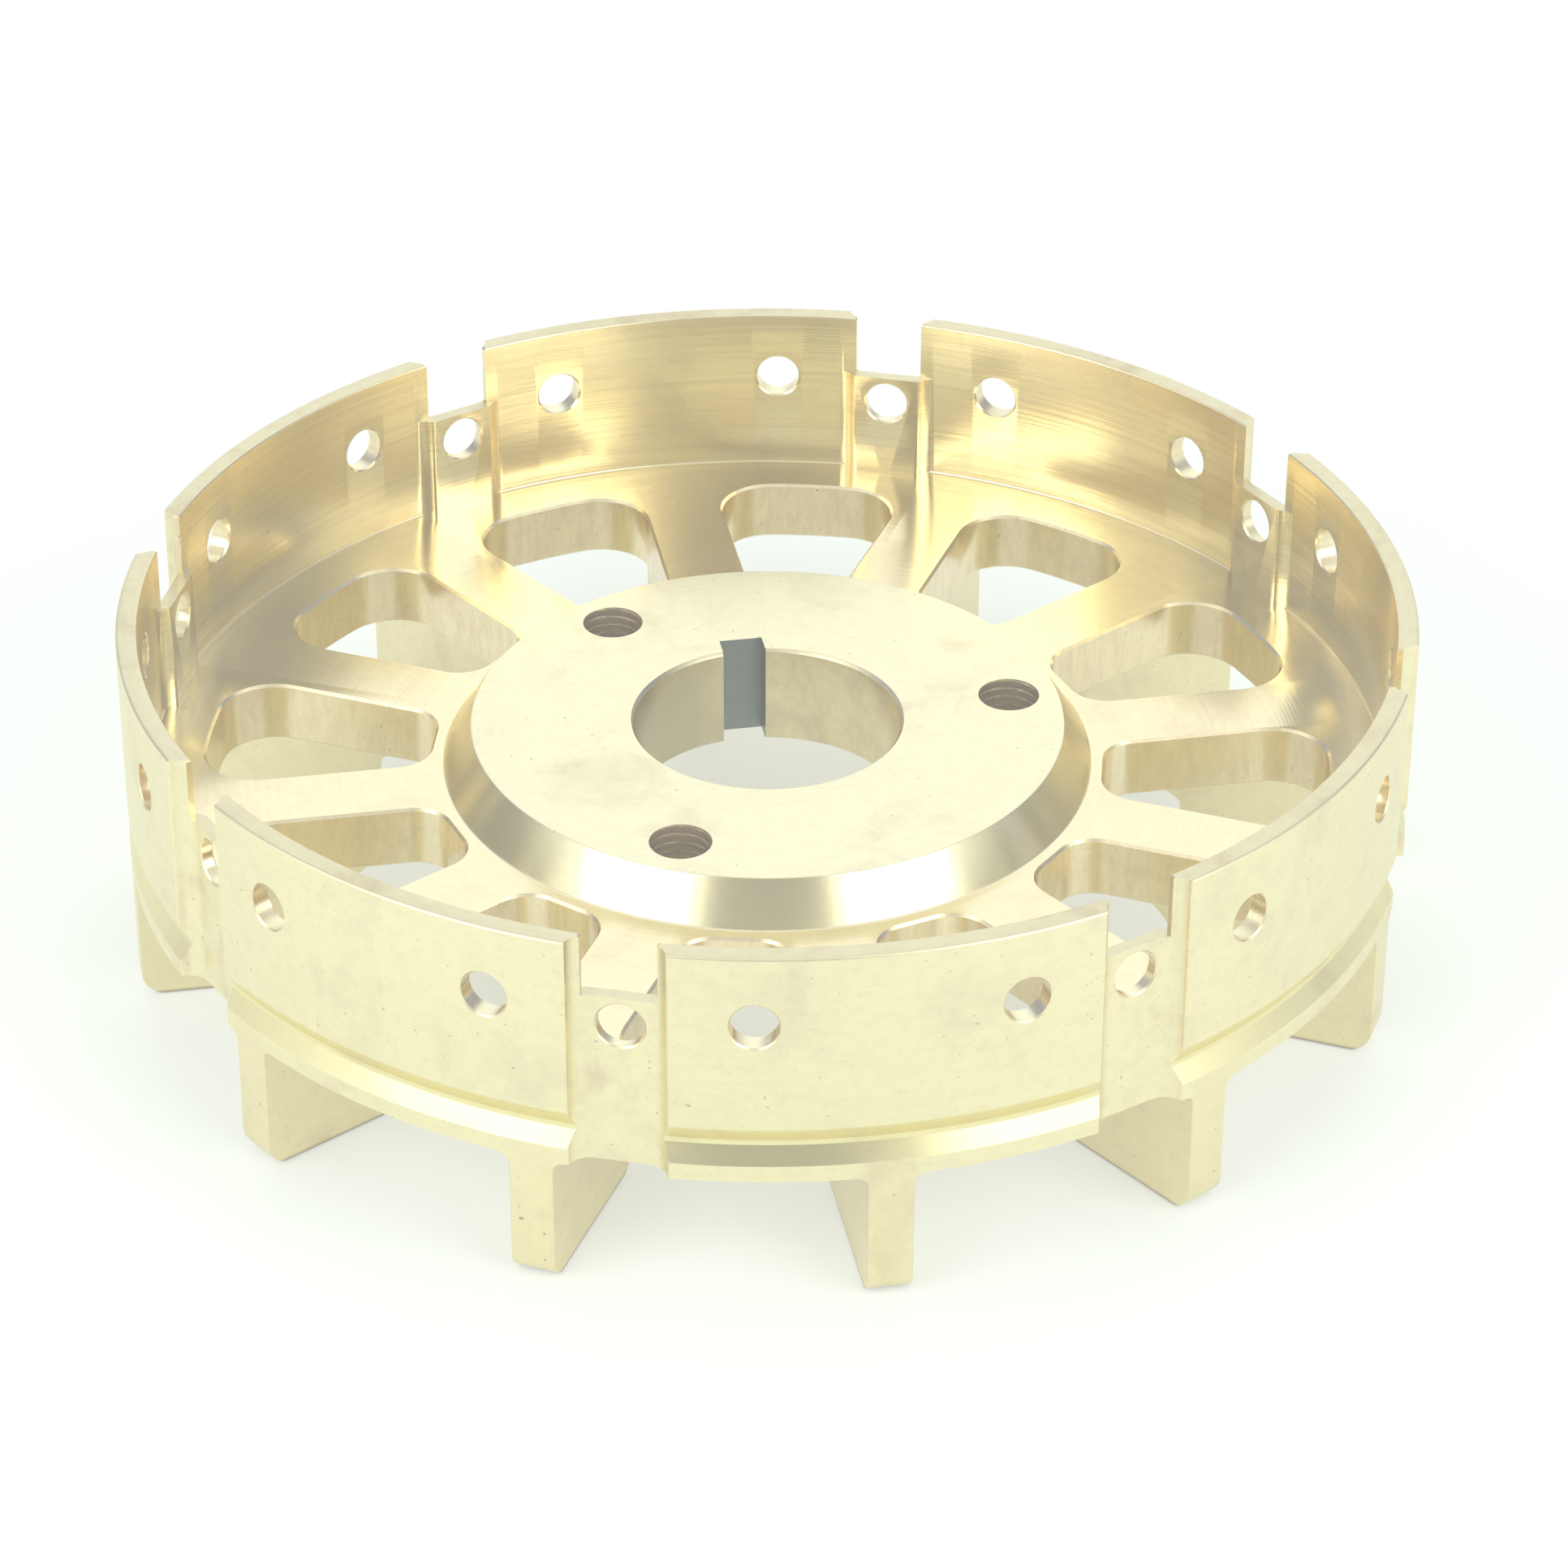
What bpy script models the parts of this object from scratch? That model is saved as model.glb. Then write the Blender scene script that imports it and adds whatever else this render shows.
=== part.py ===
"""Keyed, spoked rotor hub with a slotted rim and radial fan vanes, machined from one bronze blank.

The wheel's axis is +Z and it stands on its vane feet at z = 0. The keyway faces +Y.
The blank is turned first, then pads are added and every pocket, window and hole is cut, as a
machinist would. Sizes are in millimetres until a mesh is made, and in metres from then on.
"""

import math

import bmesh
import bpy
from mathutils import Matrix, Vector

MM = 0.001

# Heights above the vane feet
VANE_HEIGHT = 26.0
WEB_THICKNESS = 12.0
HUB_RISE = 8.0
RIM_RISE = 33.5
WEB_UNDERSIDE = VANE_HEIGHT
WEB_TOP = WEB_UNDERSIDE + WEB_THICKNESS
HUB_TOP = WEB_TOP + HUB_RISE
RIM_TOP = WEB_TOP + RIM_RISE

# Turned shape
OUTER_RADIUS = 120.0
RIM_INNER_RADIUS = 116.1
HUB_TOP_RADIUS = 55.6
HUB_BASE_RADIUS = 60.8
BORE_RADIUS = 25.0
BORE_CHAMFER = 0.5
RIM_CHAMFER = 0.5
GROOVE_RADIUS = OUTER_RADIUS - 2.0
GROOVE_LIP = WEB_TOP - 1.2
GROOVE_TOP = WEB_TOP - 4.6
GROOVE_FOOT = WEB_TOP - 5.6
BAND_TOP = WEB_TOP - 8.8
TURNED_STEPS = 96

# Spokes, windows and vanes
SPOKE_COUNT = 12
SPOKE_HALF_WIDTH = 7.8
WINDOW_INNER_RADIUS = 63.5
WINDOW_OUTER_RADIUS = 105.7
WINDOW_INNER_CORNER = 7.0
WINDOW_OUTER_CORNER = 10.0
WINDOW_CHAMFER = 0.6
VANE_HALF_THICKNESS = 4.0
VANE_INNER_RADIUS = 82.0
VANE_ROOT_FILLET = 12.0
VANE_SIDE_FILLET = 2.5
VANE_INNER_FOOT_ROUND = 6.0
VANE_OUTER_FOOT_ROUND = 5.0

# Rim slots: an outer pocket, a narrower slot through the wall, and a pad inside the wall
SLOT_COUNT = 8
POCKET_HALF_WIDTH = 8.7
POCKET_BACK = 116.5
POCKET_CORNER = 4.2
SLOT_HALF_WIDTH = 6.7
SLOT_FLOOR = WEB_TOP + 21.5
PAD_FACE = 114.0
PAD_BACK = POCKET_BACK + 1.3
PAD_FOOT = WEB_TOP - 2.0
PAD_FLANK_RADIUS = 5.0
PAD_FLANK_REACH = RIM_INNER_RADIUS + 0.3

# Holes and keyway
RADIAL_HOLE_RADIUS = 4.3
SEGMENT_HOLE_HEIGHT = WEB_TOP + 19.8
PAD_HOLE_HEIGHT = WEB_TOP + 15.9
HUB_HOLE_COUNT = 3
HUB_HOLE_RADIUS = 5.9
HUB_HOLE_CIRCLE = 46.3
HUB_HOLE_START = math.radians(90.0)
KEYWAY_HALF_WIDTH = 4.1
KEYWAY_BACK = 29.4

SPOKE_ANGLE = math.tau / SPOKE_COUNT
SLOT_ANGLE = math.tau / SLOT_COUNT
OVERSHOOT = 4.0
ARC_STEP = math.radians(22.5)
FILLET_STEPS = 3
WINDOW_EDGE_CHORDS = 3
HOLE_STEPS = 20
SMOOTH_LIMIT = math.radians(32.0)


def polar(radius, angle):
    """A point seen from above, with the angle counted from -Y towards +X."""
    return Vector((radius * math.sin(angle), -radius * math.cos(angle)))


def arc(centre, radius, start, end, step=ARC_STEP):
    """Points on an arc about centre, from start to end with both ends included."""
    count = max(1, round(abs(end - start) / step))
    turns = (start + (end - start) * index / count for index in range(count + 1))
    return [Vector(centre) + polar(radius, turn) for turn in turns]


def mirrored(half):
    """Close a half outline, drawn on the +X side, with its mirror image."""
    other = [Vector((-point.x, point.y)) for point in reversed(half)]
    return half + other


def evenly(count, first=0.0):
    return [first + math.tau * index / count for index in range(count)]


def turned(angle):
    """Placement that carries a shape drawn along -Y round the wheel."""
    return Matrix.Rotation(angle, 4, "Z")


def add_loft(mesh_data, layers, placement):
    """Add a closed solid through outlines of equal length, each given with its height."""
    rings = []
    for outline, height in layers:
        points = [placement @ Vector((point.x, point.y, height)) * MM for point in outline]
        rings.append([mesh_data.verts.new(point) for point in points])
    for lower, upper in zip(rings, rings[1:]):
        for index in range(len(lower)):
            after = (index + 1) % len(lower)
            mesh_data.faces.new((lower[index], lower[after], upper[after], upper[index]))
    mesh_data.faces.new(list(reversed(rings[0])))
    mesh_data.faces.new(rings[-1])


def solid(name, mesh_data):
    """Turn a bmesh of closed solids into an object with outward faces."""
    bmesh.ops.recalc_face_normals(mesh_data, faces=mesh_data.faces)
    mesh = bpy.data.meshes.new(name)
    mesh_data.to_mesh(mesh)
    mesh_data.free()
    result = bpy.data.objects.new(name, mesh)
    bpy.context.scene.collection.objects.link(result)
    return result


def repeated(name, layers, angles):
    """One object holding the same lofted solid at each angle round the wheel."""
    mesh_data = bmesh.new()
    for angle in angles:
        add_loft(mesh_data, layers, turned(angle))
    return solid(name, mesh_data)


def section(centre, radius, start, end):
    """Arc of the half section, as (radius, height) with the angle counted from outwards to up."""
    count = max(1, round(abs(end - start) / ARC_STEP))
    turns = (start + (end - start) * index / count for index in range(count + 1))
    return [(centre[0] + radius * math.cos(t), centre[1] + radius * math.sin(t)) for t in turns]


def blank_section():
    """Half section of the turned blank, down the bore, out along the foot and up the rim."""
    quarter = math.pi / 2
    root = (VANE_INNER_RADIUS - VANE_ROOT_FILLET, WEB_UNDERSIDE - VANE_ROOT_FILLET)
    inner_foot = (VANE_INNER_RADIUS + VANE_INNER_FOOT_ROUND, VANE_INNER_FOOT_ROUND)
    outer_foot = (OUTER_RADIUS - VANE_OUTER_FOOT_ROUND, VANE_OUTER_FOOT_ROUND)
    bore = [
        (BORE_RADIUS, HUB_TOP - BORE_CHAMFER),
        (BORE_RADIUS, WEB_UNDERSIDE + BORE_CHAMFER),
        (BORE_RADIUS + BORE_CHAMFER, WEB_UNDERSIDE),
    ]
    vane_ring = (
        section(root, VANE_ROOT_FILLET, quarter, 0)
        + section(inner_foot, VANE_INNER_FOOT_ROUND, 2 * quarter, 3 * quarter)
        + section(outer_foot, VANE_OUTER_FOOT_ROUND, -quarter, 0)
    )
    rim = [
        (OUTER_RADIUS, BAND_TOP),
        (GROOVE_RADIUS, GROOVE_FOOT),
        (GROOVE_RADIUS, GROOVE_TOP),
        (OUTER_RADIUS, GROOVE_LIP),
        (OUTER_RADIUS, RIM_TOP - RIM_CHAMFER),
        (OUTER_RADIUS - RIM_CHAMFER, RIM_TOP),
        (RIM_INNER_RADIUS + RIM_CHAMFER, RIM_TOP),
        (RIM_INNER_RADIUS, RIM_TOP - RIM_CHAMFER),
        (RIM_INNER_RADIUS, WEB_TOP),
    ]
    hub = [
        (HUB_BASE_RADIUS, WEB_TOP),
        (HUB_TOP_RADIUS, HUB_TOP),
        (BORE_RADIUS + BORE_CHAMFER, HUB_TOP),
    ]
    return bore + vane_ring + rim + hub


def turned_blank():
    outline = blank_section()
    mesh_data = bmesh.new()
    rings = []
    for angle in evenly(TURNED_STEPS):
        points = [polar(radius, angle).to_3d() + Vector((0, 0, height)) for radius, height in outline]
        rings.append([mesh_data.verts.new(point * MM) for point in points])
    for index, ring in enumerate(rings):
        after = rings[(index + 1) % TURNED_STEPS]
        for place in range(len(outline)):
            following = (place + 1) % len(outline)
            mesh_data.faces.new((ring[place], ring[following], after[following], after[place]))
    return solid("vaned_rotor_hub", mesh_data)


def pads():
    """Local thickening of the wall, with a flat face and hollow flanks that run out into the rim."""
    corner = Vector((SLOT_HALF_WIDTH, -PAD_FACE))
    cutter_path = PAD_FLANK_REACH - PAD_FLANK_RADIUS
    spread = corner.length_squared + cutter_path ** 2 - PAD_FLANK_RADIUS ** 2
    spread /= 2 * corner.length * cutter_path
    cutter_angle = math.atan2(SLOT_HALF_WIDTH, PAD_FACE) + math.acos(spread)
    cutter = polar(cutter_path, cutter_angle)
    towards_corner = corner - cutter
    start = math.atan2(towards_corner.x, -towards_corner.y)
    flank = arc(cutter, PAD_FLANK_RADIUS, start, cutter_angle)
    inside_wall = Vector((flank[-1].x, -PAD_BACK))
    outline = mirrored(flank + [inside_wall])
    layers = [(outline, PAD_FOOT), (outline, SLOT_FLOOR)]
    return repeated("pads", layers, evenly(SLOT_COUNT, SLOT_ANGLE / 2))


def vane_gap_outline(side_offset):
    """Wedge between two neighbouring vanes, standing side_offset off their centre planes."""
    half = SPOKE_ANGLE / 2
    towards_gap = polar(side_offset, half - math.pi / 2)
    inner = polar(HUB_BASE_RADIUS, half) + towards_gap
    outer = polar(OUTER_RADIUS / math.cos(half) + OVERSHOOT, half) + towards_gap
    return mirrored([inner, outer])


def vane_gaps():
    layers = [(vane_gap_outline(VANE_HALF_THICKNESS), -OVERSHOOT)]
    for index in range(FILLET_STEPS + 1):
        turn = math.pi / 2 * index / FILLET_STEPS
        offset = VANE_HALF_THICKNESS + VANE_SIDE_FILLET * (1 - math.cos(turn))
        height = WEB_UNDERSIDE - VANE_SIDE_FILLET * (1 - math.sin(turn))
        layers.append((vane_gap_outline(offset), height))
    return repeated("vane_gaps", layers, evenly(SPOKE_COUNT, SPOKE_ANGLE / 2))


def window_outline(grow):
    """Rounded window between two spokes, with every edge moved outwards by grow."""
    half = SPOKE_ANGLE / 2
    spoke_edge = SPOKE_HALF_WIDTH - grow
    inner_edge = WINDOW_INNER_RADIUS - grow
    outer_edge = WINDOW_OUTER_RADIUS + grow
    inner_corner = WINDOW_INNER_CORNER + grow
    outer_corner = WINDOW_OUTER_CORNER + grow
    inner_angle = half - math.asin((spoke_edge + inner_corner) / (inner_edge + inner_corner))
    outer_angle = half - math.asin((spoke_edge + outer_corner) / (outer_edge - outer_corner))
    towards_spoke = half + math.pi / 2
    inner_centre = polar(inner_edge + inner_corner, inner_angle)
    outer_centre = polar(outer_edge - outer_corner, outer_angle)
    return mirrored(
        arc(inner_centre, inner_corner, inner_angle + math.pi, towards_spoke)
        + arc(outer_centre, outer_corner, towards_spoke, outer_angle)
        + [polar(outer_edge, outer_angle / WINDOW_EDGE_CHORDS)]
    )


def windows():
    layers = [
        (window_outline(0), WEB_UNDERSIDE - OVERSHOOT),
        (window_outline(0), WEB_TOP - WINDOW_CHAMFER),
        (window_outline(2 * WINDOW_CHAMFER), WEB_TOP + WINDOW_CHAMFER),
    ]
    return repeated("windows", layers, evenly(SPOKE_COUNT, SPOKE_ANGLE / 2))


def pockets():
    """Shallow flat-backed recesses whose rounded corners run out through the rim's outer face."""
    depth = math.sqrt(OUTER_RADIUS ** 2 - POCKET_HALF_WIDTH ** 2) - POCKET_BACK
    turn = math.acos(1 - depth / POCKET_CORNER)
    centre = (POCKET_HALF_WIDTH - POCKET_CORNER * math.sin(turn), -(POCKET_BACK + POCKET_CORNER))
    corner = arc(centre, POCKET_CORNER, math.pi, math.pi - turn)
    mouth = corner[-1] + Vector((math.cos(turn), -math.sin(turn))) * OVERSHOOT
    outline = mirrored(corner + [mouth])
    layers = [(outline, WEB_UNDERSIDE - OVERSHOOT), (outline, RIM_TOP + OVERSHOOT)]
    return repeated("pockets", layers, evenly(SLOT_COUNT, SLOT_ANGLE / 2))


def slots():
    inner = Vector((SLOT_HALF_WIDTH, -(PAD_FACE - OVERSHOOT)))
    outer = Vector((SLOT_HALF_WIDTH, -(OUTER_RADIUS + OVERSHOOT)))
    outline = mirrored([inner, outer])
    layers = [(outline, SLOT_FLOOR), (outline, RIM_TOP + OVERSHOOT)]
    return repeated("slots", layers, evenly(SLOT_COUNT, SLOT_ANGLE / 2))


def round_hole(mesh_data, radius, start, end):
    """A cylinder between two points in millimetres."""
    along = end - start
    placement = Matrix.Translation(start) @ along.to_track_quat("Z", "X").to_matrix().to_4x4()
    outline = [polar(radius, angle) for angle in evenly(HOLE_STEPS, math.pi / HOLE_STEPS)]
    add_loft(mesh_data, [(outline, 0), (outline, along.length)], placement)


def radial_holes():
    """Two holes in each rim segment and a lower one through each pad."""
    mesh_data = bmesh.new()
    quarter = SLOT_ANGLE / 4
    places = [(angle, SEGMENT_HOLE_HEIGHT) for angle in evenly(SLOT_COUNT, quarter)]
    places += [(angle, SEGMENT_HOLE_HEIGHT) for angle in evenly(SLOT_COUNT, -quarter)]
    places += [(angle, PAD_HOLE_HEIGHT) for angle in evenly(SLOT_COUNT, SLOT_ANGLE / 2)]
    for angle, height in places:
        level = Vector((0, 0, height))
        inner = polar(PAD_FACE - OVERSHOOT, angle).to_3d() + level
        outer = polar(OUTER_RADIUS + OVERSHOOT, angle).to_3d() + level
        round_hole(mesh_data, RADIAL_HOLE_RADIUS, inner, outer)
    return solid("radial_holes", mesh_data)


def hub_cuts():
    """Tapped holes in the hub face and the keyway along the bore."""
    mesh_data = bmesh.new()
    bottom = WEB_UNDERSIDE - OVERSHOOT
    top = HUB_TOP + OVERSHOOT
    for angle in evenly(HUB_HOLE_COUNT, HUB_HOLE_START):
        centre = polar(HUB_HOLE_CIRCLE, angle).to_3d()
        round_hole(mesh_data, HUB_HOLE_RADIUS, centre + Vector((0, 0, bottom)), centre + Vector((0, 0, top)))
    inner = Vector((KEYWAY_HALF_WIDTH, -(BORE_RADIUS - OVERSHOOT)))
    outer = Vector((KEYWAY_HALF_WIDTH, -KEYWAY_BACK))
    outline = mirrored([inner, outer])
    add_loft(mesh_data, [(outline, bottom), (outline, top)], turned(math.pi))
    return solid("hub_cuts", mesh_data)


def bronze():
    material = bpy.data.materials.new("machined_bronze")
    material.use_nodes = True
    shader = material.node_tree.nodes["Principled BSDF"]
    shader.inputs["Base Color"].default_value = (0.80, 0.69, 0.42, 1.0)
    shader.inputs["Metallic"].default_value = 1.0
    shader.inputs["Roughness"].default_value = 0.32
    return material


def machine(blank, tools):
    """Apply each (operation, tool) to the blank in turn, then drop the tools."""
    for operation, tool in tools:
        step = blank.modifiers.new(tool.name, "BOOLEAN")
        step.operation = operation
        step.object = tool
    evaluated = blank.evaluated_get(bpy.context.evaluated_depsgraph_get())
    finished = bpy.data.meshes.new_from_object(evaluated)
    blank.modifiers.clear()
    blank.data = finished
    for _, tool in tools:
        bpy.data.objects.remove(tool, do_unlink=True)


def main():
    for leftover in list(bpy.data.objects):
        bpy.data.objects.remove(leftover, do_unlink=True)
    hub = turned_blank()
    tools = [("UNION", pads())]
    tools += [("DIFFERENCE", cut()) for cut in (vane_gaps, windows, pockets, slots, radial_holes, hub_cuts)]
    machine(hub, tools)
    hub.data.materials.append(bronze())
    hub.data.shade_smooth()
    hub.data.set_sharp_from_angle(angle=SMOOTH_LIMIT)


main()
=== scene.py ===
"""Looks of the vaned rotor hub: one finely machined mesh with bronze finishes, on a pale floor.

The wheel's axis is +Z, its vane feet stand at z = 0 and its keyway faces +Y. Lengths in the
modelling sections are in millimetres until a mesh is made; the camera and lights use metres.
"""

import math

import bmesh
import bpy
from mathutils import Matrix, Vector


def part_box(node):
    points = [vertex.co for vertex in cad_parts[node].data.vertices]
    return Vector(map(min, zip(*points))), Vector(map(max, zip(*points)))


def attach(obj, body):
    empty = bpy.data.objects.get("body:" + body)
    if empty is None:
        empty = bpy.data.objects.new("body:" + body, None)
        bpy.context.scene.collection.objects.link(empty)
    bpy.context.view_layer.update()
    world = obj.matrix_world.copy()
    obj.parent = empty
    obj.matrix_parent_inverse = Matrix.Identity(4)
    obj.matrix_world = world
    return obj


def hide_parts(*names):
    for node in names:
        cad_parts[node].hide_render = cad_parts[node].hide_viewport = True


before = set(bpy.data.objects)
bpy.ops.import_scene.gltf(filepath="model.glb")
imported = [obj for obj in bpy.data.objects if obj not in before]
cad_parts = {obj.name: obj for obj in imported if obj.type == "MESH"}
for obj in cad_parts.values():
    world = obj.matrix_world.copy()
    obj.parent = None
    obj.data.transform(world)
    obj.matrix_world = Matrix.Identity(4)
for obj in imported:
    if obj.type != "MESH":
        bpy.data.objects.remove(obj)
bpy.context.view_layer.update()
hub_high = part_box("vaned_rotor_hub")[1]

MM = 0.001

# Overall sizes, read from the frame
OUTER_RADIUS = hub_high[0] / MM
RIM_TOP = hub_high[2] / MM

# Heights above the vane feet
WEB_UNDERSIDE = 26.0
WEB_TOP = 38.0
HUB_TOP = 46.0

# Turned shape
RIM_INNER_RADIUS = OUTER_RADIUS - 3.9
HUB_TOP_RADIUS = 55.6
HUB_BASE_RADIUS = 60.8
BORE_RADIUS = 25.0
BORE_CHAMFER = 0.6
GROOVE_RADIUS = OUTER_RADIUS - 2.0
GROOVE_LIP = WEB_TOP - 1.2
GROOVE_TOP = WEB_TOP - 4.6
GROOVE_FOOT = WEB_TOP - 5.6
BAND_TOP = WEB_TOP - 8.8
VANE_INNER_RADIUS = 82.0
VANE_ROOT_FILLET = 12.0
VANE_INNER_FOOT_ROUND = 6.0
VANE_OUTER_FOOT_ROUND = 5.0
TURNED_STEPS = 720

# Spokes, windows and vanes
SPOKE_COUNT = 12
SPOKE_HALF_WIDTH = 7.8
WINDOW_INNER_RADIUS = 63.5
WINDOW_OUTER_RADIUS = 105.7
WINDOW_INNER_CORNER = 7.0
WINDOW_OUTER_CORNER = 10.0
WINDOW_CHAMFER = 0.5
VANE_HALF_THICKNESS = 4.0
VANE_SIDE_FILLET = 2.5
EDGE_BREAK = 0.3

# Rim slots: an outer pocket, a narrower slot through the wall, and a pad inside the wall
SLOT_COUNT = 8
POCKET_HALF_WIDTH = 8.7
POCKET_BACK = OUTER_RADIUS - 3.5
POCKET_CORNER = 4.2
SLOT_HALF_WIDTH = 6.7
SLOT_FLOOR = WEB_TOP + 21.5
PAD_FACE = 114.0
PAD_BACK = POCKET_BACK + 1.3
PAD_FOOT = WEB_TOP - 2.0
PAD_FLANK_RADIUS = 5.0
PAD_FLANK_REACH = RIM_INNER_RADIUS + 0.3

# Holes and keyway
RADIAL_HOLE_RADIUS = 4.3
SEGMENT_HOLE_HEIGHT = WEB_TOP + 19.8
PAD_HOLE_HEIGHT = WEB_TOP + 15.9
HUB_HOLE_COUNT = 3
HUB_HOLE_START = math.radians(90.0)
HUB_HOLE_CIRCLE = 46.3
THREAD_RADIUS = 5.75
THREAD_DEPTH = 0.12
THREAD_PITCH = 1.75
THREAD_START = math.radians(170.0)
THREAD_SHARPNESS = 1.5
KEYWAY_HALF_WIDTH = 4.1
KEYWAY_BACK = 29.4

SPOKE_ANGLE = math.tau / SPOKE_COUNT
SLOT_ANGLE = math.tau / SLOT_COUNT
OVERSHOOT = 4.0
ARC_STEP = math.radians(6.0)


# Outlines and solids

def polar(radius, angle):
    """A point seen from above, with the angle counted from -Y towards +X."""
    return Vector((radius * math.sin(angle), -radius * math.cos(angle)))


def arc(centre, radius, start, end, step=ARC_STEP):
    """Points on an arc about centre, from start to end with both ends included."""
    count = max(1, round(abs(end - start) / step))
    turns = (start + (end - start) * index / count for index in range(count + 1))
    return [Vector(centre) + polar(radius, turn) for turn in turns]


def mirrored(half):
    """Close a half outline, drawn on the +X side, with its mirror image."""
    return half + [Vector((-point.x, point.y)) for point in reversed(half)]


def evenly(count, first=0.0):
    return [first + math.tau * index / count for index in range(count)]


def turned(angle):
    """Placement that carries a shape drawn along -Y round the wheel."""
    return Matrix.Rotation(angle, 4, "Z")


def add_loft(mesh_data, layers, placement):
    """Add a closed solid through outlines of equal length, each given with its height."""
    rings = []
    for outline, height in layers:
        points = [placement @ Vector((point.x, point.y, height)) * MM for point in outline]
        rings.append([mesh_data.verts.new(point) for point in points])
    for lower, upper in zip(rings, rings[1:]):
        for index in range(len(lower)):
            after = (index + 1) % len(lower)
            mesh_data.faces.new((lower[index], lower[after], upper[after], upper[index]))
    mesh_data.faces.new(list(reversed(rings[0])))
    mesh_data.faces.new(rings[-1])


def solid(name, mesh_data):
    """Turn a bmesh of closed solids into an object with outward faces."""
    bmesh.ops.recalc_face_normals(mesh_data, faces=mesh_data.faces)
    mesh = bpy.data.meshes.new(name)
    mesh_data.to_mesh(mesh)
    mesh_data.free()
    result = bpy.data.objects.new(name, mesh)
    bpy.context.scene.collection.objects.link(result)
    return result


def repeated(name, layers, angles):
    """One object holding the same lofted solid at each angle round the wheel."""
    mesh_data = bmesh.new()
    for angle in angles:
        add_loft(mesh_data, layers, turned(angle))
    return solid(name, mesh_data)


def rounded(corners, steps=4):
    """Closed outline through (radius, height, rounding) corners, each rounded by an arc."""
    outline = []
    for index, (x, y, rounding) in enumerate(corners):
        here = Vector((x, y))
        before = Vector(corners[index - 1][:2]) - here
        after = Vector(corners[(index + 1) % len(corners)][:2]) - here
        if rounding == 0:
            outline.append(here)
            continue
        half = before.angle(after) / 2
        reach = rounding / math.tan(half)
        middle = (before.normalized() + after.normalized()).normalized()
        centre = here + middle * rounding / math.sin(half)
        first = here + before.normalized() * reach - centre
        last = here + after.normalized() * reach - centre
        sweep = first.angle_signed(last)
        count = steps * max(1, round(rounding / 2))
        for place in range(count + 1):
            turn = Matrix.Rotation(-sweep * place / count, 2)
            outline.append(centre + turn @ first)
    return outline


# The turned blank

def blank_section():
    """Half section of the wheel: down the bore, out along the foot, up the rim and back in."""
    return rounded([
        (BORE_RADIUS + BORE_CHAMFER, HUB_TOP, 0.15),
        (BORE_RADIUS, HUB_TOP - BORE_CHAMFER, 0.15),
        (BORE_RADIUS, WEB_UNDERSIDE + BORE_CHAMFER, 0.15),
        (BORE_RADIUS + BORE_CHAMFER, WEB_UNDERSIDE, 0.15),
        (VANE_INNER_RADIUS, WEB_UNDERSIDE, VANE_ROOT_FILLET),
        (VANE_INNER_RADIUS, 0, VANE_INNER_FOOT_ROUND),
        (OUTER_RADIUS, 0, VANE_OUTER_FOOT_ROUND),
        (OUTER_RADIUS, BAND_TOP, 0.25),
        (GROOVE_RADIUS, GROOVE_FOOT, 0.3),
        (GROOVE_RADIUS, GROOVE_TOP, 0.8),
        (OUTER_RADIUS, GROOVE_LIP, 0.5),
        (OUTER_RADIUS, RIM_TOP, 0.6),
        (RIM_INNER_RADIUS, RIM_TOP, 0.4),
        (RIM_INNER_RADIUS, WEB_TOP, 0.5),
        (HUB_BASE_RADIUS, WEB_TOP, 0.6),
        (HUB_TOP_RADIUS, HUB_TOP, 0.35),
    ])


def turned_blank():
    outline = blank_section()
    mesh_data = bmesh.new()
    rings = []
    for angle in evenly(TURNED_STEPS):
        points = [polar(point.x, angle).to_3d() + Vector((0, 0, point.y)) for point in outline]
        rings.append([mesh_data.verts.new(point * MM) for point in points])
    for index, ring in enumerate(rings):
        after = rings[(index + 1) % TURNED_STEPS]
        for place in range(len(outline)):
            following = (place + 1) % len(outline)
            mesh_data.faces.new((ring[place], ring[following], after[following], after[place]))
    return solid("vaned_rotor_hub_finish", mesh_data)


# Material added to and cut from the blank

def pads():
    """Local thickening of the wall, with a flat face and hollow flanks that run out into the rim."""
    corner = Vector((SLOT_HALF_WIDTH, -PAD_FACE))
    cutter_path = PAD_FLANK_REACH - PAD_FLANK_RADIUS
    spread = corner.length_squared + cutter_path ** 2 - PAD_FLANK_RADIUS ** 2
    spread /= 2 * corner.length * cutter_path
    cutter_angle = math.atan2(SLOT_HALF_WIDTH, PAD_FACE) + math.acos(spread)
    cutter = polar(cutter_path, cutter_angle)
    towards_corner = corner - cutter
    start = math.atan2(towards_corner.x, -towards_corner.y)
    flank = arc(cutter, PAD_FLANK_RADIUS, start, cutter_angle)
    broken = flank[0] + (flank[1] - flank[0]).normalized() * EDGE_BREAK
    corner_break = Vector((corner.x - EDGE_BREAK, corner.y))
    flank = [corner_break, broken] + flank[1:]
    inside_wall = Vector((flank[-1].x, -PAD_BACK))
    outline = mirrored(flank + [inside_wall])
    layers = [(outline, PAD_FOOT), (outline, SLOT_FLOOR)]
    return repeated("pads", layers, evenly(SLOT_COUNT, SLOT_ANGLE / 2))


def vane_gap_outline(side_offset):
    """Wedge between two neighbouring vanes, standing side_offset off their centre planes."""
    half = SPOKE_ANGLE / 2
    sideways = polar(1, half - math.pi / 2)
    inner = polar(HUB_BASE_RADIUS, half) + sideways * side_offset
    edge = polar(OUTER_RADIUS - EDGE_BREAK, half) + sideways * side_offset
    outer = polar(OUTER_RADIUS / math.cos(half) + OVERSHOOT, half)
    flare = sideways * (side_offset - (outer.length - OUTER_RADIUS + EDGE_BREAK))
    return mirrored([inner, edge, outer + flare])


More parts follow.
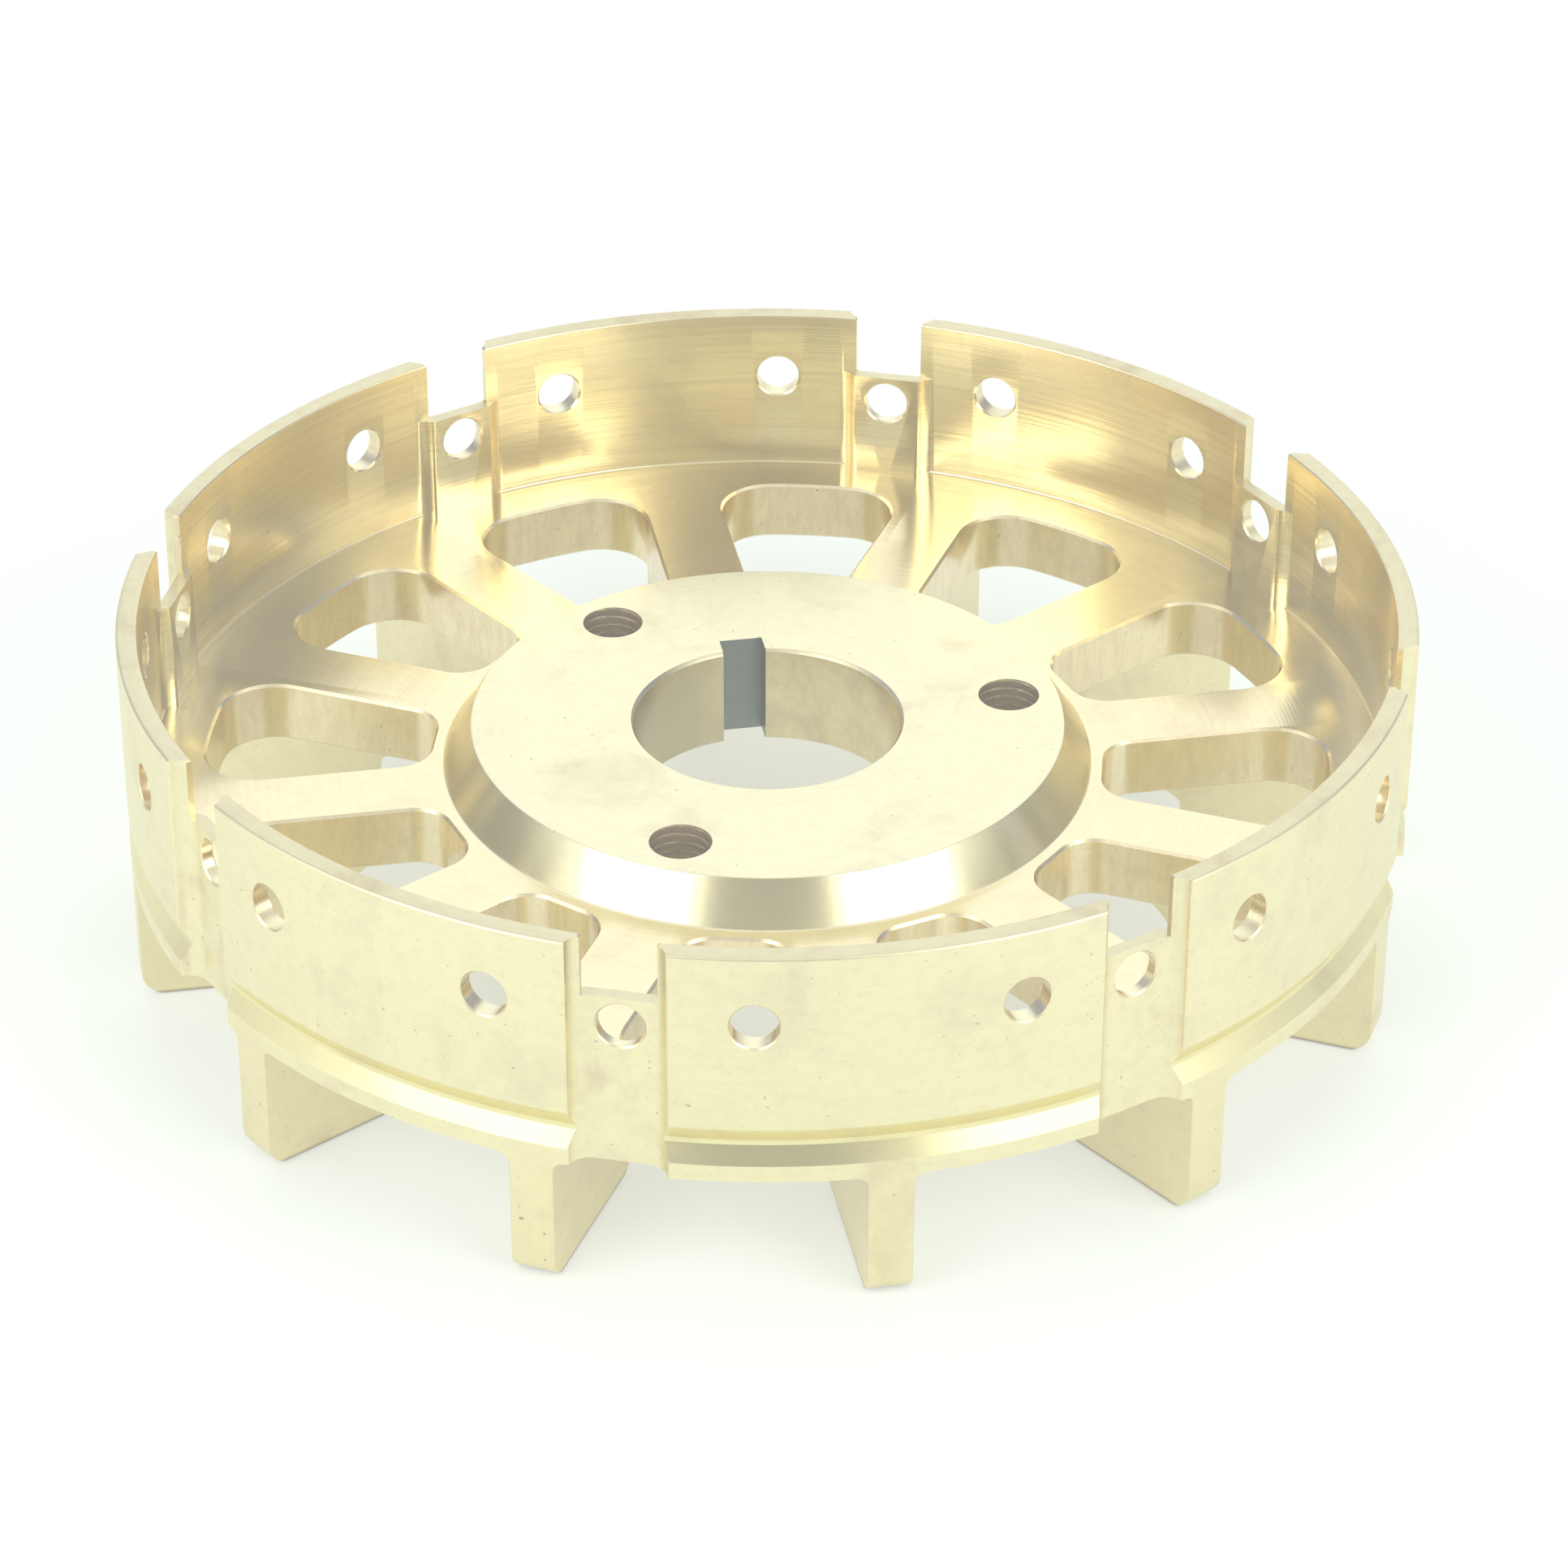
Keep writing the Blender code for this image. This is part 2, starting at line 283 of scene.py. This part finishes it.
def vane_gaps():
    fillet_steps = 6
    layers = [
        (vane_gap_outline(VANE_HALF_THICKNESS - EDGE_BREAK - OVERSHOOT / 2), -OVERSHOOT / 2),
        (vane_gap_outline(VANE_HALF_THICKNESS), EDGE_BREAK),
    ]
    for index in range(fillet_steps + 1):
        turn = math.pi / 2 * index / fillet_steps
        offset = VANE_HALF_THICKNESS + VANE_SIDE_FILLET * (1 - math.cos(turn))
        height = WEB_UNDERSIDE - VANE_SIDE_FILLET * (1 - math.sin(turn))
        layers.append((vane_gap_outline(offset), height))
    return repeated("vane_gaps", layers, evenly(SPOKE_COUNT, SPOKE_ANGLE / 2))


def window_outline(grow):
    """Rounded window between two spokes, with every edge moved outwards by grow."""
    half = SPOKE_ANGLE / 2
    spoke_edge = SPOKE_HALF_WIDTH - grow
    inner_edge = WINDOW_INNER_RADIUS - grow
    outer_edge = WINDOW_OUTER_RADIUS + grow
    inner_corner = WINDOW_INNER_CORNER + grow
    outer_corner = WINDOW_OUTER_CORNER + grow
    inner_angle = half - math.asin((spoke_edge + inner_corner) / (inner_edge + inner_corner))
    outer_angle = half - math.asin((spoke_edge + outer_corner) / (outer_edge - outer_corner))
    towards_spoke = half + math.pi / 2
    inner_centre = polar(inner_edge + inner_corner, inner_angle)
    outer_centre = polar(outer_edge - outer_corner, outer_angle)
    edge_steps = 8
    edge_angles = [outer_angle * (1 - step / edge_steps) for step in range(1, edge_steps)]
    outer_run = [polar(outer_edge, angle) for angle in edge_angles]
    return mirrored(
        arc(inner_centre, inner_corner, inner_angle + math.pi, towards_spoke)
        + arc(outer_centre, outer_corner, towards_spoke, outer_angle)
        + outer_run
    )


def windows():
    wide = window_outline(2 * WINDOW_CHAMFER)
    narrow = window_outline(0)
    layers = [
        (wide, WEB_UNDERSIDE - WINDOW_CHAMFER),
        (narrow, WEB_UNDERSIDE + WINDOW_CHAMFER),
        (narrow, WEB_TOP - WINDOW_CHAMFER),
        (wide, WEB_TOP + WINDOW_CHAMFER),
    ]
    return repeated("windows", layers, evenly(SPOKE_COUNT, SPOKE_ANGLE / 2))


def pockets():
    """Shallow flat-backed recesses whose rounded corners run out through the rim's outer face."""
    depth = math.sqrt((OUTER_RADIUS - EDGE_BREAK) ** 2 - POCKET_HALF_WIDTH ** 2) - POCKET_BACK
    turn = math.acos(1 - depth / POCKET_CORNER)
    centre = (POCKET_HALF_WIDTH - POCKET_CORNER * math.sin(turn), -(POCKET_BACK + POCKET_CORNER))
    corner = arc(centre, POCKET_CORNER, math.pi, math.pi - turn)
    mouth = corner[-1] + Vector((math.cos(turn / 2), -math.sin(turn / 2))) * OVERSHOOT
    outline = mirrored(corner + [mouth])
    layers = [(outline, WEB_UNDERSIDE - OVERSHOOT), (outline, RIM_TOP + OVERSHOOT)]
    return repeated("pockets", layers, evenly(SLOT_COUNT, SLOT_ANGLE / 2))


def slots():
    def outline(half_width):
        inner = Vector((half_width, -(PAD_FACE - OVERSHOOT)))
        outer = Vector((half_width, -(OUTER_RADIUS + OVERSHOOT)))
        return mirrored([inner, outer])
    layers = [
        (outline(SLOT_HALF_WIDTH), SLOT_FLOOR),
        (outline(SLOT_HALF_WIDTH), RIM_TOP - EDGE_BREAK),
        (outline(SLOT_HALF_WIDTH + EDGE_BREAK + OVERSHOOT), RIM_TOP + OVERSHOOT),
    ]
    return repeated("slots", layers, evenly(SLOT_COUNT, SLOT_ANGLE / 2))


def radial_holes():
    """Two holes in each rim segment and a lower one through each pad, with broken edges."""
    mesh_data = bmesh.new()
    quarter = SLOT_ANGLE / 4
    segment = (RIM_INNER_RADIUS, OUTER_RADIUS, SEGMENT_HOLE_HEIGHT)
    pad = (PAD_FACE, POCKET_BACK, PAD_HOLE_HEIGHT)
    places = [(angle, segment) for angle in evenly(SLOT_COUNT, quarter)]
    places += [(angle, segment) for angle in evenly(SLOT_COUNT, -quarter)]
    places += [(angle, pad) for angle in evenly(SLOT_COUNT, SLOT_ANGLE / 2)]
    for angle, (inner, outer, height) in places:
        start = polar(1, angle).to_3d()
        placement = start.to_track_quat("Z", "Y").to_matrix().to_4x4()
        placement = Matrix.Translation((0, 0, height)) @ placement
        layers = [
            (circle(RADIAL_HOLE_RADIUS + OVERSHOOT / 2), inner + EDGE_BREAK - OVERSHOOT / 2),
            (circle(RADIAL_HOLE_RADIUS), inner + EDGE_BREAK),
            (circle(RADIAL_HOLE_RADIUS), outer - EDGE_BREAK),
            (circle(RADIAL_HOLE_RADIUS + OVERSHOOT / 2), outer - EDGE_BREAK + OVERSHOOT / 2),
        ]
        add_loft(mesh_data, layers, placement)
    return solid("radial_holes", mesh_data)


def circle(radius, steps=48):
    return [polar(radius, angle) for angle in evenly(steps)]


def thread_outline(height, steps=72):
    """Slice of a helical thread: the hole's own radius with a groove that turns as it climbs."""
    outline = []
    for angle in evenly(steps):
        phase = (height - HUB_TOP) / THREAD_PITCH - (angle - THREAD_START) / math.tau
        groove = max(0.0, math.cos(math.tau * phase)) ** THREAD_SHARPNESS
        outline.append(polar(THREAD_RADIUS + THREAD_DEPTH * groove, angle))
    return outline


def hub_threads():
    mesh_data = bmesh.new()
    slices_per_turn = 12
    rise = THREAD_PITCH / slices_per_turn
    past_end = 1.0
    count = math.ceil((HUB_TOP - WEB_UNDERSIDE + 2 * past_end) / rise)
    heights = [WEB_UNDERSIDE - past_end + rise * index for index in range(count + 1)]
    layers = [(thread_outline(height), height) for height in heights]
    for angle in evenly(HUB_HOLE_COUNT, HUB_HOLE_START):
        centre = polar(HUB_HOLE_CIRCLE, angle).to_3d()
        add_loft(mesh_data, layers, Matrix.Translation(centre))
    return solid("hub_threads", mesh_data)


def keyway():
    inner = Vector((KEYWAY_HALF_WIDTH, -(BORE_RADIUS - OVERSHOOT)))
    outer = Vector((KEYWAY_HALF_WIDTH, -KEYWAY_BACK))
    outline = mirrored([inner, outer])
    layers = [(outline, WEB_UNDERSIDE - OVERSHOOT), (outline, HUB_TOP + OVERSHOOT)]
    return repeated("keyway", layers, [math.pi])


def machine(blank, tools):
    """Apply each (operation, tool) to the blank in turn, then drop the tools."""
    for operation, tool in tools:
        step = blank.modifiers.new(tool.name, "BOOLEAN")
        step.operation = operation
        step.solver = "MANIFOLD"
        step.object = tool
    evaluated = blank.evaluated_get(bpy.context.evaluated_depsgraph_get())
    blank.data = bpy.data.meshes.new_from_object(evaluated)
    blank.modifiers.clear()
    for _, tool in tools:
        bpy.data.objects.remove(tool, do_unlink=True)


def machined_wheel():
    wheel = turned_blank()
    tools = [("UNION", pads())]
    cutters = (vane_gaps, windows, pockets, slots, radial_holes, hub_threads, keyway)
    tools += [("DIFFERENCE", cutter()) for cutter in cutters]
    machine(wheel, tools)
    return wheel


# Finishes

class Nodes:
    """A material's node tree, with short calls for the nodes used here."""

    def __init__(self, name):
        self.material = bpy.data.materials.new(name)
        self.material.use_nodes = True
        self.tree = self.material.node_tree
        self.shader = self.tree.nodes["Principled BSDF"]
        metres = self.add("ShaderNodeTexCoord").outputs["Object"]
        millimetres = self.add("ShaderNodeVectorMath", operation="SCALE")
        self.feed(millimetres.inputs[0], metres)
        self.feed(millimetres.inputs["Scale"], 1 / MM)
        self.place = millimetres.outputs["Vector"]

    def add(self, kind, **settings):
        node = self.tree.nodes.new(kind)
        for key, value in settings.items():
            setattr(node, key, value)
        return node

    def feed(self, socket, value):
        if isinstance(value, bpy.types.NodeSocket):
            self.tree.links.new(value, socket)
        else:
            socket.default_value = value

    def math(self, operation, first, second=0.0, third=0.0):
        node = self.add("ShaderNodeMath", operation=operation)
        for socket, value in zip(node.inputs, (first, second, third)):
            self.feed(socket, value)
        return node.outputs[0]

    def turned_place(self, radial, around, along):
        """Place as (radius, angle, height) of the wheel, each scaled to set how fine marks are."""
        split = self.add("ShaderNodeSeparateXYZ")
        self.feed(split.inputs[0], self.place)
        x, y, z = split.outputs
        squares = self.math("ADD", self.math("MULTIPLY", x, x), self.math("MULTIPLY", y, y))
        radius = self.math("SQRT", squares)
        angle = self.math("ARCTAN2", y, x)
        join = self.add("ShaderNodeCombineXYZ")
        self.feed(join.inputs[0], self.math("MULTIPLY", radius, radial))
        self.feed(join.inputs[1], self.math("MULTIPLY", angle, around))
        self.feed(join.inputs[2], self.math("MULTIPLY", z, along))
        return join.outputs[0]

    def axis(self, letter):
        """One coordinate of the place: X, Y or Z."""
        split = self.add("ShaderNodeSeparateXYZ")
        self.feed(split.inputs[0], self.place)
        return split.outputs[letter]

    def noise(self, place, scale, detail=3.0, roughness=0.55, distortion=0.0):
        node = self.add("ShaderNodeTexNoise")
        self.feed(node.inputs["Vector"], place)
        self.feed(node.inputs["Scale"], scale)
        self.feed(node.inputs["Detail"], detail)
        self.feed(node.inputs["Roughness"], roughness)
        self.feed(node.inputs["Distortion"], distortion)
        return node.outputs["Fac"]

    def ramp(self, value, low, high, out_low=0.0, out_high=1.0):
        node = self.add("ShaderNodeMapRange", interpolation_type="SMOOTHSTEP")
        for socket, number in zip(node.inputs, (value, low, high, out_low, out_high)):
            self.feed(socket, number)
        return node.outputs[0]

    def scratch(self, turn):
        """Noise drawn out into thin straight streaks that run at an angle to X."""
        node = self.add("ShaderNodeMapping")
        self.feed(node.inputs["Vector"], self.place)
        node.inputs["Rotation"].default_value = (0.0, 0.0, turn)
        node.inputs["Scale"].default_value = SCRATCH_SCALE
        return self.noise(node.outputs[0], 1.0, detail=1.0)

    def mix(self, amount, first, second):
        node = self.add("ShaderNodeMix", data_type="RGBA")
        self.feed(node.inputs["Factor"], amount)
        self.feed(node.inputs["A"], first)
        self.feed(node.inputs["B"], second)
        return node.outputs["Result"]


# Metal colours, how fine the noise behind each kind of wear is, and how the scratches lie
BRONZE = (0.845, 0.775, 0.475, 1.0)
WARM = (0.88, 0.77, 0.475, 1.0)
TARNISH = (0.58, 0.46, 0.27, 1.0)
STAIN = (0.64, 0.55, 0.36, 1.0)
# Dark colour for specks and scratches, and for the darker band at the vane feet, partly a painted
# contact shadow.
SPECK_AND_FOOT_SHADE = (0.24, 0.20, 0.14, 1.0)
CLOUD_FINENESS = 0.055
PATCH_FINENESS = 0.35
SPOT_FINENESS = 0.9
SCRATCH_TURNS = (0.5, 1.4, 2.6)
SCRATCH_SCALE = (0.06, 2.4, 0.8)


def bronze(name, roughness, marks, base=BRONZE, dull=TARNISH, stretch=0.0, mottle=0.25, fine=0.08,
           specks=0.0, scratches=0.0, painted_bore_side_shade=0.0, foot=0.0, bump=0.02, lines=0.06):
    """Machined bronze. marks is how fine its tool marks are: radially, around and along the axis.

    dull is the colour that mottle (clouds), fine (small patches) and lines (tool marks) mix in,
    each by its own amount. painted_bore_side_shade is how far the -X side of the bore is darkened
    towards dull, a painted shade on that side, and foot how dark the metal is where it meets the
    floor, partly dirt and partly a painted contact shadow.
    """
    nodes = Nodes(name)
    shader = nodes.shader
    shader.inputs["Metallic"].default_value = 1.0
    shader.inputs["Anisotropic"].default_value = stretch
    shader.inputs["Anisotropic Rotation"].default_value = 0.25
    if stretch:
        tangent = nodes.add("ShaderNodeTangent", direction_type="RADIAL", axis="Z")
        nodes.feed(shader.inputs["Tangent"], tangent.outputs[0])
    streak = nodes.noise(nodes.turned_place(*marks), 1.0, detail=4.0, roughness=0.7)
    cloud = nodes.noise(nodes.place, CLOUD_FINENESS, detail=6.0, roughness=0.62, distortion=0.4)
    blotch = nodes.ramp(cloud, 0.50, 0.72, 0.0, mottle)
    tone = nodes.mix(blotch, base, dull)
    patches = nodes.noise(nodes.place, PATCH_FINENESS, detail=5.0, roughness=0.7)
    tone = nodes.mix(nodes.ramp(patches, 0.42, 0.72, 0.0, fine), tone, dull)
    tone = nodes.mix(nodes.ramp(streak, 0.35, 0.75, 0.0, lines), tone, dull)
    # Painted shade: the -X side of the bore is darkened towards dull.
    if painted_bore_side_shade:
        side = nodes.ramp(nodes.axis("X"), -BORE_RADIUS * 0.6, BORE_RADIUS * 0.3, painted_bore_side_shade, 0.0)
        tone = nodes.mix(side, tone, dull)
    # Darker towards the floor: partly dirt, partly a painted contact shadow.
    if foot:
        tone = nodes.mix(nodes.ramp(nodes.axis("Z"), 0.15, 1.1, foot, 0.0), tone, SPECK_AND_FOOT_SHADE)
    if scratches:
        for turn in SCRATCH_TURNS:
            tone = nodes.mix(nodes.ramp(nodes.scratch(turn), 0.68, 0.74, 0.0, scratches), tone, SPECK_AND_FOOT_SHADE)
    if specks:
        spots = nodes.noise(nodes.place, SPOT_FINENESS, detail=2.0)
        tone = nodes.mix(nodes.ramp(spots, 0.72 - 0.04 * specks, 0.80, 0.0, 0.8), tone, SPECK_AND_FOOT_SHADE)
    nodes.feed(shader.inputs["Base Color"], tone)
    grain = nodes.math("MULTIPLY_ADD", streak, roughness * 0.35, roughness * 0.80)
    wear = nodes.math("MULTIPLY_ADD", blotch, 0.25, grain)
    nodes.feed(shader.inputs["Roughness"], wear)
    relief = nodes.add("ShaderNodeBump")
    relief.inputs["Strength"].default_value = bump
    relief.inputs["Distance"].default_value = MM
    nodes.feed(relief.inputs["Height"], streak)
    nodes.feed(shader.inputs["Normal"], relief.outputs[0])
    return nodes.material


FINISHES = {
    "hub_face": dict(
        roughness=0.36, marks=(1.1, 3.0, 0.2), base=(0.86, 0.80, 0.53, 1.0), dull=STAIN, mottle=0.38,
        fine=0.16, specks=0.3, scratches=0.07, bump=0.05, lines=0.04
    ),
    "web": dict(
        roughness=0.18, marks=(1.3, 1.5, 0.2), base=WARM, stretch=0.3, mottle=0.20, fine=0.12, bump=0.03,
        lines=0.12
    ),
    "outer": dict(
        roughness=0.38, marks=(0.2, 5.0, 0.9), dull=STAIN, mottle=0.36, fine=0.20, specks=0.6,
        scratches=0.05, bump=0.03, lines=0.10
    ),
    "rim_top": dict(
        roughness=0.45, marks=(2.0, 4.0, 0.2), base=(0.72, 0.66, 0.42, 1.0), mottle=0.5, fine=0.3,
        bump=0.04
    ),
    "inner_wall": dict(
        roughness=0.22, marks=(0.2, 1.2, 0.8), base=WARM, stretch=0.5, mottle=0.30, bump=0.06, lines=0.35
    ),
    "cone": dict(roughness=0.25, marks=(2.0, 2.0, 2.0), stretch=0.6, mottle=0.10, bump=0.02, lines=0.08),
    "groove": dict(
        roughness=0.30, marks=(2.0, 2.0, 2.0), base=(0.84, 0.76, 0.40, 1.0), stretch=0.5, mottle=0.30,
        bump=0.02, lines=0.12
    ),
    # Bore: its -X side is darkened towards its dull colour, a painted shade on that side.
    "bore": dict(
        roughness=0.30, marks=(0.5, 6.0, 0.2), base=WARM, dull=(0.52, 0.47, 0.31, 1.0), stretch=0.3,
        mottle=0.45, fine=0.15, painted_bore_side_shade=0.85, bump=0.04, lines=0.45
    ),
    "milled": dict(
        roughness=0.24, marks=(0.5, 60.0, 0.15), base=(0.89, 0.76, 0.47, 1.0), mottle=0.30, specks=0.6,
        bump=0.04, lines=0.35
    ),
    "pocket": dict(
        roughness=0.40, marks=(0.3, 20.0, 0.3), dull=STAIN, mottle=0.65, fine=0.3, specks=1.0, bump=0.05
    ),
    # Vanes: darker towards the floor, partly dirt and partly a painted contact shadow.
    "vane": dict(
        roughness=0.32, marks=(0.4, 20.0, 0.8), base=(0.84, 0.75, 0.45, 1.0), mottle=0.35, fine=0.15,
        specks=0.7, foot=0.85, bump=0.04
    ),
    # Keyway: its walls get a dark grey-blue base colour, far darker than the bronze round them.
    "keyway": dict(
        roughness=0.42, marks=(0.3, 60.0, 0.3), base=(0.21, 0.26, 0.26, 1.0), mottle=0.1, bump=0.04
    ),
    "thread": dict(
        roughness=0.5, marks=(1.0, 20.0, 1.0), base=(0.50, 0.42, 0.25, 1.0), mottle=0.6, fine=0.8,
        bump=0.3
    ),
}
FINISH_ORDER = list(FINISHES)
SHARP_ANGLE = math.radians(28)

# How near a feature a face may lie and still count as part of it, and how upright a level normal is
CLOSE = 0.05
THREAD_REACH = 0.95
LEVEL = 0.9


def in_hub_hole(place):
    holes = [polar(HUB_HOLE_CIRCLE, angle) for angle in evenly(HUB_HOLE_COUNT, HUB_HOLE_START)]
    return any((place.xy - hole).length < THREAD_RADIUS + THREAD_REACH for hole in holes)


def in_keyway(place):
    between = place.y > 0 and abs(place.x) < KEYWAY_HALF_WIDTH + CLOSE
    return between and BORE_RADIUS < place.xy.length < KEYWAY_BACK + 1


def finish_of(place, normal):
    """Name of the finish on a face at place, in millimetres, with its outward normal."""
    radius = place.xy.length
    outwards = place.xy.normalized().dot(normal.xy)
    level = abs(normal.z) > LEVEL
    if in_hub_hole(place) and not level:
        return "thread"
    if in_keyway(place) and not level:
        return "keyway"
    if radius < BORE_RADIUS + BORE_CHAMFER + CLOSE and not level:
        return "bore"
    if place.z < WEB_UNDERSIDE + 0.3:
        return "vane"
    if level:
        if place.z > SLOT_FLOOR - 1:
            return "rim_top"
        return "hub_face" if place.z > HUB_TOP - 0.1 else "web"
    if radius < HUB_BASE_RADIUS + 0.5:
        return "cone"
    if radius > GROOVE_RADIUS - 0.3 and outwards > 0.5:
        grooved = BAND_TOP + 0.1 < place.z < GROOVE_LIP
        return "groove" if grooved else "outer"
    if outwards < -0.99 and radius > RIM_INNER_RADIUS - 0.3:
        return "inner_wall"
    if radius > POCKET_BACK - 0.2 and outwards > 0.3:
        return "pocket"
    if PAD_FACE - 0.3 < radius < POCKET_BACK and place.z > WEB_TOP:
        return "inner_wall"
    return "milled"


def dress(wheel):
    wheel.data.materials.clear()
    for name, settings in FINISHES.items():
        wheel.data.materials.append(bronze("bronze_" + name, **settings))
    for face in wheel.data.polygons:
        name = finish_of(face.center / MM, face.normal)
        face.material_index = FINISH_ORDER.index(name)
    wheel.data.shade_smooth()
    wheel.data.set_sharp_from_angle(angle=SHARP_ANGLE)


# Stage, light and camera

CAMERA_AZIMUTH = math.radians(-10.22)
CAMERA_ELEVATION = math.radians(32.18)
CAMERA_DISTANCE = 0.9876
CAMERA_PIVOT = Vector((0, 0, 0.0241))
CAMERA_LENS = 119.5
CAMERA_RIGHT_SHIFT = 0.00314
CAMERA_UP_SHIFT = 0.00606
CAMERA_ROLL = 0.002587
CAMERA_SENSOR = 36.0
CAMERA_FAR = 20.0
FLOOR_RADIUS = 6.0
FLOOR_DROP = 0.0001
FLOOR_TINTS = ((0.55, 0.58, 0.545, 1.0), (0.565, 0.59, 0.56, 1.0))
FLOOR_GLOW = (0.96, 1.0, 0.95, 1.0)
FLOOR_GLOW_STRENGTH = 0.42


def around(azimuth, elevation):
    """Unit vector towards an azimuth from -Y towards +X and an elevation above the floor."""
    flat = math.cos(elevation)
    return Vector((math.sin(azimuth) * flat, -math.cos(azimuth) * flat, math.sin(elevation)))


def make_camera():
    towards = around(CAMERA_AZIMUTH, CAMERA_ELEVATION)
    right = Vector((math.cos(CAMERA_AZIMUTH), math.sin(CAMERA_AZIMUTH), 0))
    up = towards.cross(right)
    place = CAMERA_PIVOT + towards * CAMERA_DISTANCE
    target = CAMERA_PIVOT + right * CAMERA_RIGHT_SHIFT + up * CAMERA_UP_SHIFT
    back = (place - target).normalized()
    level = Vector((0, 0, 1)).cross(back).normalized()
    side = level * math.cos(CAMERA_ROLL) + back.cross(level) * math.sin(CAMERA_ROLL)
    upright = back.cross(side)
    data = bpy.data.cameras.new("camera")
    data.lens = CAMERA_LENS
    data.sensor_width = CAMERA_SENSOR
    data.clip_end = CAMERA_FAR
    camera = bpy.data.objects.new("camera", data)
    bpy.context.scene.collection.objects.link(camera)
    camera.matrix_world = Matrix.Translation(place) @ Matrix((side, upright, back)).transposed().to_4x4()
    bpy.context.scene.camera = camera


def make_floor():
    """Pale floor with some light of its own, which keeps the shadows as faint as in the photo."""
    mesh_data = bmesh.new()
    bmesh.ops.create_circle(mesh_data, cap_ends=True, segments=96, radius=FLOOR_RADIUS)
    floor = solid("floor", mesh_data)
    floor.location.z = -FLOOR_DROP
    nodes = Nodes("floor_paint")
    nodes.shader.inputs["Roughness"].default_value = 0.6
    tint = nodes.noise(nodes.place, 0.004, detail=2.0)
    nodes.feed(nodes.shader.inputs["Base Color"], nodes.mix(tint, *FLOOR_TINTS))
    nodes.shader.inputs["Emission Color"].default_value = FLOOR_GLOW
    nodes.shader.inputs["Emission Strength"].default_value = FLOOR_GLOW_STRENGTH
    nodes.shader.inputs["Specular IOR Level"].default_value = 0.2
    floor.data.materials.append(nodes.material)


def from_camera(azimuth, elevation):
    """Unit vector towards an azimuth from the camera's and an elevation, both in degrees."""
    return around(CAMERA_AZIMUTH + math.radians(azimuth), math.radians(elevation))


def softbox(name, azimuth):
    data = bpy.data.lights.new(name, "AREA")
    data.shape = "RECTANGLE"
    data.size = SOFTBOX_WIDTH
    data.size_y = SOFTBOX_HEIGHT
    data.energy = SOFTBOX_POWER
    lamp = bpy.data.objects.new(name, data)
    direction = from_camera(azimuth, SOFTBOX_ELEVATION)
    lamp.location = SOFTBOX_TARGET + direction * SOFTBOX_DISTANCE
    lamp.rotation_euler = direction.to_track_quat("Z", "Y").to_euler()
    bpy.context.scene.collection.objects.link(lamp)


# Soft lights, each side of the camera: degrees, metres and watts
SOFTBOX_AZIMUTH = 49
SOFTBOX_ELEVATION = 32
SOFTBOX_DISTANCE = 1.3
SOFTBOX_WIDTH = 0.85
SOFTBOX_HEIGHT = 0.75
SOFTBOX_POWER = 5.3
SOFTBOX_TARGET = Vector((0, 0, 0.04))

# Zones of the tent: azimuth from the camera, elevation, full and far angles, tint
TENT_WHITE = (0.917, 0.95, 0.936)
TENT_ZONES = (
    (0, 30, 14, 34, (0.42, 0.42, 0.40)),
    (74, 24, 6, 22, (1.30, 1.33, 1.36)),
    (-74, 24, 6, 22, (1.30, 1.33, 1.36)),
    (180, 34, 20, 46, (1.36, 1.38, 1.42)),
    (120, 26, 9, 34, (0.38, 0.42, 0.56)),
    (-128, 27, 9, 34, (0.38, 0.42, 0.56)),
)

# The view's combined curve, and how far it lifts the picture's blacks towards white
COMBINED_CURVE = 3
VEIL = 0.14


def make_world():
    """White tent: dim behind the camera and at two back corners, bright at the sides and back."""
    world = bpy.data.worlds.new("tent")
    world.use_nodes = True
    tree = world.node_tree
    background = tree.nodes["Background"]
    place = tree.nodes.new("ShaderNodeTexCoord")

    def zone(azimuth, elevation, full_angle, far_angle, tint):
        """Factor per colour: tint within full_angle of a direction, fading to 1 at far_angle."""
        towards = tree.nodes.new("ShaderNodeVectorMath")
        towards.operation = "DOT_PRODUCT"
        towards.inputs[1].default_value = from_camera(azimuth, elevation)
        tree.links.new(place.outputs["Generated"], towards.inputs[0])
        fade = tree.nodes.new("ShaderNodeMapRange")
        fade.data_type = "FLOAT_VECTOR"
        fade.interpolation_type = "SMOOTHSTEP"
        value, from_low, from_high, to_low, to_high = list(fade.inputs)[6:11]
        from_low.default_value = [math.cos(math.radians(far_angle))] * 3
        from_high.default_value = [math.cos(math.radians(full_angle))] * 3
        to_low.default_value = (1.0, 1.0, 1.0)
        to_high.default_value = tint
        tree.links.new(towards.outputs["Value"], value)
        return fade.outputs["Vector"]

    light = None
    for settings in TENT_ZONES:
        product = tree.nodes.new("ShaderNodeVectorMath")
        product.operation = "MULTIPLY"
        tree.links.new(zone(*settings), product.inputs[0])
        if light is None:
            product.inputs[1].default_value = TENT_WHITE
        else:
            tree.links.new(light, product.inputs[1])
        light = product.outputs[0]
    tree.links.new(light, background.inputs["Color"])
    bpy.context.scene.world = world


def light_the_scene():
    make_world()
    softbox("left_softbox", -SOFTBOX_AZIMUTH)
    softbox("right_softbox", SOFTBOX_AZIMUTH)
    view = bpy.context.scene.view_settings
    view.view_transform = "Standard"
    view.exposure = 0.0
    view.use_curve_mapping = True
    curve = view.curve_mapping.curves[COMBINED_CURVE]
    curve.points[0].location = (0.0, VEIL)
    curve.points[1].location = (1.0, 1.0)
    view.curve_mapping.update()


make_camera()
make_floor()
light_the_scene()
wheel = machined_wheel()
dress(wheel)
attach(wheel, "root")
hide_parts("vaned_rotor_hub")
